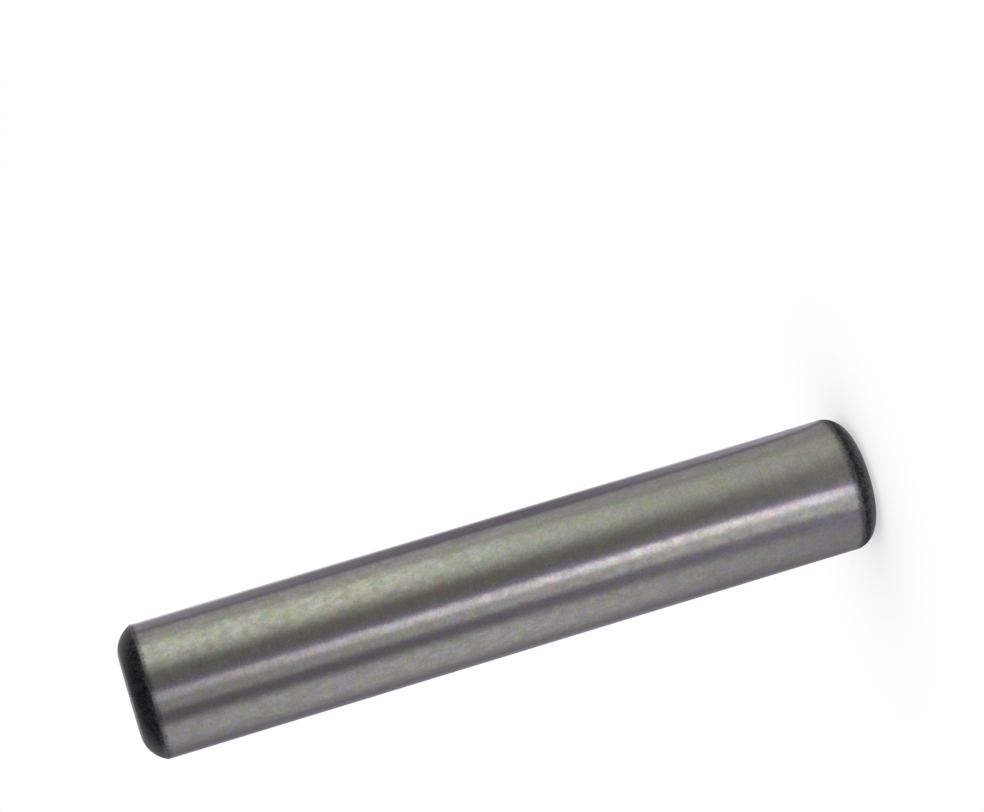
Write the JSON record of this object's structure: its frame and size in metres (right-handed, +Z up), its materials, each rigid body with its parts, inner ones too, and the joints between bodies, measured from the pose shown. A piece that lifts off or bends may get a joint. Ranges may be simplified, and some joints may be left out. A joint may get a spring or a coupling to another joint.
{
  "type": "dowel pin",
  "caption": "Hardened and ground steel dowel pin: a plain cylinder with rounded corners at both flat ends, for pressing into reamed holes.",
  "frame": {"origin": "middle of the foot face, which the pin stands on", "axes": "+Z up along the pin's axis, from the foot face to the top face"},
  "size_m": [0.008, 0.008, 0.0444],
  "materials": {
    "ground_steel": "ground body, dull unground ends"
  },
  "bodies": {
    "root": {"dowel_pin": "ground_steel"}
  },
  "joints": []
}
